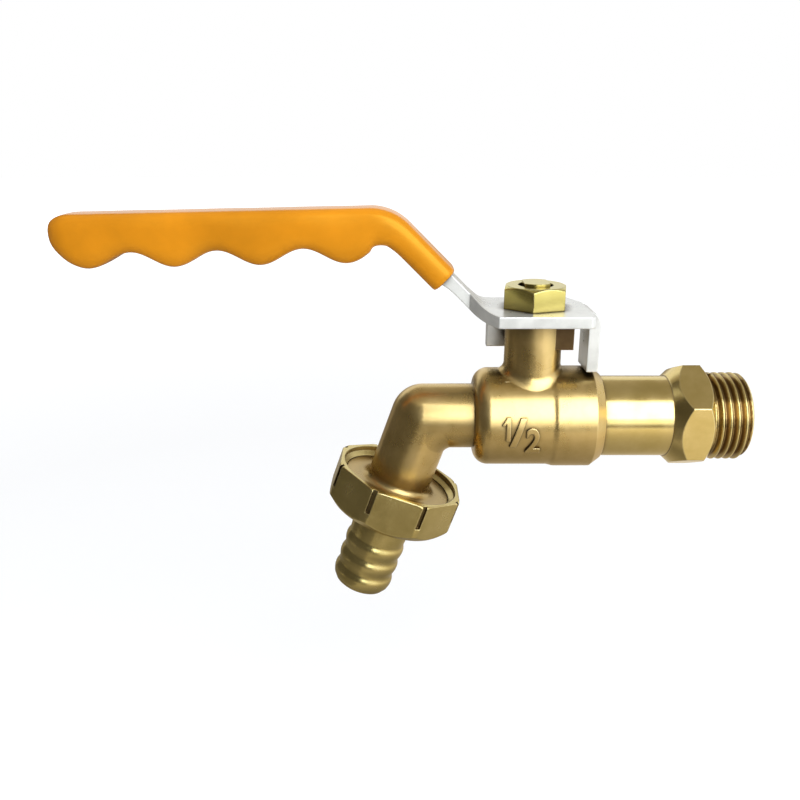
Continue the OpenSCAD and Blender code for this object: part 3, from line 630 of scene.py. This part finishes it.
# The tool's nose, as half widths at growing radii. It is wide at the crest, to round it off.
groove = [
    (0.10 * mm, thread_root_r), (0.20 * mm, thread_root_r + 0.07 * mm),
    (0.62 * mm, thread_r - 0.22 * mm), (0.74 * mm, thread_r - 0.06 * mm),
    (0.84 * mm, thread_r), (0.89 * mm, thread_r + 0.4 * mm),
]
bpy.ops.mesh.primitive_plane_add(size=1, rotation=(math.radians(90), 0, 0))
tool = bpy.context.object
tool.name = "thread_tool"
tool.scale = (2 * groove[0][0], groove[1][1] - groove[0][1], 1)
tool.location = (first_groove_x, 0, (groove[0][1] + groove[1][1]) / 2)
bpy.ops.object.transform_apply()
bpy.ops.object.mode_set(mode="EDIT")
bpy.ops.mesh.select_all(action="DESELECT")
bpy.ops.object.mode_set(mode="OBJECT")
for v in tool.data.vertices:
    v.select = v.co.z > (groove[0][1] + groove[1][1]) / 2
bpy.ops.object.mode_set(mode="EDIT")
half, radius = groove[0]
for next_half, next_radius in groove[1:]:
    if next_radius != groove[1][1]:
        bpy.ops.mesh.extrude_region_move(
            TRANSFORM_OT_translate={"value": (0, 0, next_radius - radius)}
        )
    bpy.ops.transform.resize(
        value=(next_half / half, 1, 1), center_override=(first_groove_x, 0, next_radius)
    )
    half, radius = next_half, next_radius
bpy.ops.mesh.select_all(action="SELECT")
bpy.ops.mesh.dissolve_limited(angle_limit=math.radians(1))
bpy.ops.mesh.delete(type="ONLY_FACE")
bpy.ops.object.mode_set(mode="OBJECT")
winding = tool.modifiers.new("winding", "SCREW")
winding.axis = "X"
winding.screw_offset = thread_pitch
winding.iterations = thread_turns
winding.steps = 72
winding.render_steps = 72
bpy.ops.object.modifier_apply(modifier="winding")
bpy.ops.object.mode_set(mode="EDIT")
bpy.ops.mesh.select_all(action="SELECT")
bpy.ops.mesh.fill_holes(sides=0)
bpy.ops.mesh.select_all(action="SELECT")
bpy.ops.mesh.normals_make_consistent(inside=False)
bpy.ops.object.mode_set(mode="OBJECT")
cut(tailpiece, tool, "DIFFERENCE")
smooth(tailpiece)
dress(tailpiece, turned_brass)
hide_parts("inlet_tailpiece")
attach(tailpiece, "valve_body")

# Ball: drilled brass, plated and polished, so that it turns easily between its seats.
plated_ball = metal(
    "plated_ball", light=(0.80, 0.81, 0.82), dark=(0.74, 0.75, 0.77), edge=(0.9, 0.9, 0.9),
    patina_and_shade_tone=(0.45, 0.45, 0.46), rough=(0.08, 0.12), grain=3600.0,
)
dress(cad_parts["ball"], plated_ball)
smooth_nodes = ["ball"]


def plain(name, color, rough, grain, depth, drift=0.92, broad=160.0, shine=0.5, glint=(1, 1, 1)):
    """A moulded or turned non-metal whose colour drifts by a share, with a fine skin."""
    made = bpy.data.materials.new(name)
    made.use_nodes = True
    nodes, links = made.node_tree.nodes, made.node_tree.links
    shader = nodes["Principled BSDF"]
    where = nodes.new("ShaderNodeTexCoord")
    skin = nodes.new("ShaderNodeGroup")
    skin.node_tree = grain_group
    skin.inputs["Fine"].default_value = grain
    skin.inputs["Broad"].default_value = broad
    links.new(where.outputs["Object"], skin.inputs["Vector"])
    tone = nodes.new("ShaderNodeValToRGB")
    tone.color_ramp.elements[0].position = 0.3
    tone.color_ramp.elements[0].color = (*[drift * c for c in color], 1)
    tone.color_ramp.elements[1].position = 0.7
    tone.color_ramp.elements[1].color = (*color, 1)
    links.new(skin.outputs["Drift"], tone.inputs["Fac"])
    links.new(tone.outputs["Color"], shader.inputs["Base Color"])
    shader.inputs["Roughness"].default_value = rough
    shader.inputs["Specular IOR Level"].default_value = shine
    shader.inputs["Specular Tint"].default_value = (*glint, 1)
    bump = nodes.new("ShaderNodeBump")
    bump.inputs["Strength"].default_value = 0.3
    bump.inputs["Distance"].default_value = depth
    links.new(skin.outputs["Height"], bump.inputs["Height"])
    links.new(bump.outputs["Normal"], shader.inputs["Normal"])
    return made


# Seats and thrust washer: turned PTFE rings that the ball and the stem's shoulder bear on.
ptfe = plain("ptfe", (0.88, 0.88, 0.85), 0.45, 2000.0, 0.01 * mm)
for name in ("seat_inlet", "seat_outlet", "thrust_washer"):
    dress(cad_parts[name], ptfe)
    smooth_nodes.append(name)

# O-rings and gasket: moulded nitrile rubber, squeezed in the stem's grooves and in the union.
rubber = plain("nitrile_rubber", (0.03, 0.03, 0.03), 0.6, 3000.0, 0.02 * mm)
for name in ("stem_o_ring_lower", "stem_o_ring_upper", "union_gasket"):
    dress(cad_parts[name], rubber)
    smooth_nodes.append(name)

# Stem: bright machined brass with two flats at its top, where the lever sits.
bright_brass = metal(
    "bright_brass", light=(0.67, 0.58, 0.18), dark=(0.59, 0.50, 0.14), edge=(0.80, 0.73, 0.40),
    patina_and_shade_tone=(0.30, 0.24, 0.08), rough=(0.20, 0.27), grain=3600.0,
)
stem = softened("stem", "valve_stem", 0.12 * mm)
dress(stem, bright_brass)
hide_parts("stem")
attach(stem, "handle")

# Lever: sheet steel, folded down at the far side and the front, zinc plated after folding.
zinc = metal(
    "zinc_plate", light=(0.85, 0.855, 0.82), dark=(0.70, 0.71, 0.68), edge=(0.87, 0.87, 0.85),
    patina_and_shade_tone=(0.14, 0.12, 0.09), reach=2.5 * mm, rough=(0.24, 0.36), grain=2600.0, metallic=0.70,
)
lever_weld = 0.02 * mm
lever = softened("lever", "plated_lever", 0.3 * mm, weld=lever_weld)
dress(lever, zinc)
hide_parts("lever")
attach(lever, "handle")

# Grip: soft vinyl, dipped over the lever's end, with four swells for the fingers. It is drawn
# as a straight bar first, from the cut edge on the arm to the nose, and then bent.
grip_half_w = 6.0 * mm
grip_top = 1.2 * mm
grip_arm_depth = 5.4 * mm
grip_trough = 7.6 * mm
grip_edge = 2.6 * mm
grip_lead = 8 * mm
swell_height = 3.5 * mm
swell_pitch = 19.3 * mm
first_swell = 10.2 * mm
nose_len = 6 * mm
foot = (-52.5 * mm, 26.7 * mm)
arm_slope = math.radians(45)
arm_rise = 21.8 * mm
handle_droop = math.radians(1.2)
handle_len = 77.4 * mm
grip_on_arm = 19.6 * mm
crown_r = 11.3 * mm
crown_turn = arm_slope + handle_droop
crown_t = crown_r * math.tan(crown_turn / 2)
crown = (foot[0] - arm_rise / math.tan(arm_slope), foot[1] + arm_rise)
bend_len = crown_r * crown_turn
crown_s = grip_on_arm - 2 * crown_t + bend_len
grip_end = crown_s + handle_len
stations = 96


def ease(s, start, stop):
    """Smooth step from 0 to 1 between two lengths."""
    k = min(1, max(0, (s - start) / (stop - start)))
    return k * k * (3 - 2 * k)


def grip_depth(s):
    """Depth of the grip below the steel's top, at a length along the grip."""
    deep = ease(s, crown_s - grip_lead, crown_s + first_swell / 2)
    wave = swell_height / 2 * (1 + math.cos(2 * math.pi * (s - crown_s - first_swell) / swell_pitch))
    return (grip_arm_depth + (grip_trough - grip_arm_depth) * deep
            + wave * ease(s, crown_s, crown_s + 0.7 * first_swell))


bpy.ops.mesh.primitive_cube_add(size=1)
grip = bpy.context.object
grip.name = "dipped_grip"
grip.scale = (grip_end, 2 * grip_half_w, grip_top + grip_arm_depth)
grip.location = (grip_end / 2, 0, (grip_top - grip_arm_depth) / 2)
bpy.ops.object.transform_apply()


def select_edges_along_x(piece):
    """Selects the edges that run along X, in edge mode."""
    bpy.ops.object.mode_set(mode="EDIT")
    bpy.ops.mesh.select_mode(type="EDGE")
    bpy.ops.mesh.select_all(action="DESELECT")
    bpy.ops.object.mode_set(mode="OBJECT")
    for e in piece.data.edges:
        a, b = (piece.data.vertices[i].co for i in e.vertices)
        e.select = abs(a.x - b.x) > 0.5 * grip_end
    bpy.ops.object.mode_set(mode="EDIT")


select_edges_along_x(grip)
bpy.ops.mesh.bevel(offset=grip_edge, segments=5)
select_edges_along_x(grip)
bpy.ops.mesh.subdivide(number_cuts=stations - 1)
bpy.ops.mesh.select_mode(type="VERT")
for k in range(stations + 1):
    s = grip_end * k / stations
    bpy.ops.mesh.select_all(action="DESELECT")
    bpy.ops.object.mode_set(mode="OBJECT")
    for v in grip.data.vertices:
        v.select = abs(v.co.x - s) < 0.1 * mm
    bpy.ops.object.mode_set(mode="EDIT")
    deeper = (grip_top + grip_depth(s)) / (grip_top + grip_arm_depth)
    bpy.ops.transform.resize(value=(1, 1, deeper), center_override=(s, 0, grip_top))
    past = max(0, s - grip_end + nose_len) / nose_len
    if past > 0:
        left = math.sqrt(max(0.02, 1 - past * past))
        middle = (grip_top - grip_depth(s)) / 2
        bpy.ops.transform.resize(value=(1, left, left), center_override=(s, 0, middle))
bpy.ops.object.mode_set(mode="OBJECT")
skin = grip.modifiers.new("skin", "SUBSURF")
skin.levels = 1
skin.render_levels = 1
bpy.ops.object.modifier_apply(modifier="skin")

# The line that the bar is bent to: up the arm, round the crown, and along the handle.
up_arm = (-math.cos(arm_slope), math.sin(arm_slope))
along = (-math.cos(handle_droop), -math.sin(handle_droop))
knots = [
    (crown[0] - grip_on_arm * up_arm[0], crown[1] - grip_on_arm * up_arm[1]),
    (crown[0] - crown_t * up_arm[0], crown[1] - crown_t * up_arm[1]),
    (crown[0] + crown_t * along[0], crown[1] + crown_t * along[1]),
    (crown[0] + handle_len * along[0], crown[1] + handle_len * along[1]),
]
round_handle = 4 / 3 * math.tan(crown_turn / 4) * crown_r
bpy.ops.curve.primitive_bezier_curve_add()
bend_line = bpy.context.object
bend_line.data.resolution_u = 64
bend_line.data.twist_mode = "Z_UP"
spline = bend_line.data.splines[0]
spline.bezier_points.add(2)
reach = [(1 * mm, up_arm, 1 * mm, up_arm), (1 * mm, up_arm, round_handle, up_arm),
         (round_handle, along, 1 * mm, along), (1 * mm, along, 1 * mm, along)]
for point, knot, (back, back_way, ahead, ahead_way) in zip(spline.bezier_points, knots, reach):
    point.handle_left_type = "FREE"
    point.handle_right_type = "FREE"
    point.co = (knot[0], 0, knot[1])
    point.handle_left = (knot[0] - back * back_way[0], 0, knot[1] - back * back_way[1])
    point.handle_right = (knot[0] + ahead * ahead_way[0], 0, knot[1] + ahead * ahead_way[1])
bend = grip.modifiers.new("bend", "CURVE")
bend.object = bend_line
bend.deform_axis = "POS_X"
bpy.ops.object.select_all(action="DESELECT")
grip.select_set(True)
bpy.context.view_layer.objects.active = grip
bpy.ops.object.modifier_apply(modifier="bend")
bpy.data.objects.remove(bend_line)
bpy.ops.object.mode_set(mode="EDIT")
bpy.ops.mesh.select_all(action="SELECT")
bpy.ops.mesh.normals_make_consistent(inside=False)
bpy.ops.object.mode_set(mode="OBJECT")
steel = merged("lever", "steel", lever_weld)
cut(grip, steel, "DIFFERENCE")
smooth(grip, 40)
vinyl = plain(
    "dipped_vinyl", (0.76, 0.27, 0.010), 0.24, 900.0, 0.03 * mm, drift=0.72, broad=45.0,
    shine=1.0, glint=(1.0, 0.75, 0.12),
)
dress(grip, vinyl)
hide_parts("grip_sleeve")
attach(grip, "handle")

# Handle nut: a bright brass hexagon nut that holds the lever down on the stem.
handle_nut = softened("handle_nut", "lever_nut", 0.25 * mm)
dress(handle_nut, bright_brass)
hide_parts("handle_nut")
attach(handle_nut, "handle")

# Union nut: a turned ring with eight flats and a finger notch in each corner. Its lip pulls the
# hose tail's flange up against the gasket under the outlet collar.
corner_x = -66.7 * mm
outlet_turn = math.radians(199.5)
union_brass = metal(
    "union_brass", light=(0.71, 0.58, 0.24), dark=(0.62, 0.50, 0.185), edge=(0.82, 0.72, 0.40),
    patina_and_shade_tone=(0.22, 0.16, 0.07), rough=(0.20, 0.28), grain=3000.0, marks=2200.0, turn=(0, outlet_turn, 0),
)
union_nut = softened("union_nut", "union_ring", 0.22 * mm)
dress(union_nut, union_brass)
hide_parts("union_nut")
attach(union_nut, "nut")

# Hose tail: a turned brass tube with a flange that the union nut holds and three round barbs,
# steeper on the side that keeps the hose on.
tail_bore_r = 5.2 * mm
flange_r = 12.4 * mm
flange_s = 24.1 * mm
flange_t = 1.2 * mm
shank_r = 7.3 * mm
root_r = 7.1 * mm
crest_r = 7.55 * mm
last_crest_s = 44.8 * mm
barb_pitch = 4.5 * mm
barb_rise = 1.7 * mm
barb_fall = 2.4 * mm
tail_end_s = 48.0 * mm
tip_r = 6.75 * mm
tip_round = 1.0 * mm
first_crest_s = last_crest_s - 2 * barb_pitch
tail_outline = [
    (tail_bore_r, flange_s), (flange_r, flange_s), (flange_r, flange_s + flange_t),
    (shank_r, flange_s + flange_t), (shank_r, first_crest_s - barb_pitch),
]
for k in range(3):
    crest_s = first_crest_s + k * barb_pitch
    for step in range(0, 7):
        half_wave = (1 - math.cos(math.pi * step / 6)) / 2
        tail_outline.append((root_r + (crest_r - root_r) * half_wave,
                             crest_s - 0.2 * mm - barb_rise * (1 - step / 6)))
    for step in range(0, 6 if k < 2 else 5):
        half_wave = (1 + math.cos(math.pi * step / 6)) / 2
        tail_outline.append((root_r + (crest_r - root_r) * half_wave,
                             crest_s + 0.2 * mm + barb_fall * step / 6))
for step in range(0, 5):
    angle = math.radians(90 * step / 4)
    tail_outline.append((tip_r - tip_round * (1 - math.cos(angle)),
                         tail_end_s - tip_round * (1 - math.sin(angle))))
tail_outline.append((tail_bore_r + 0.3 * mm, tail_end_s))
tail_outline.append((tail_bore_r, tail_end_s - 0.3 * mm))
hose_tail = turned("barbed_tail", tail_outline)
hose_tail.rotation_euler = (0, outlet_turn, 0)
hose_tail.location = (corner_x, 0, 0)
bpy.ops.object.transform_apply()
smooth(hose_tail)
dress(hose_tail, union_brass)
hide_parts("hose_tail")
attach(hose_tail, "tail")

for name in smooth_nodes:
    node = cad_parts[name]
    bpy.ops.object.select_all(action="DESELECT")
    node.select_set(True)
    bpy.context.view_layer.objects.active = node
    bpy.ops.object.shade_smooth_by_angle(angle=math.radians(30))
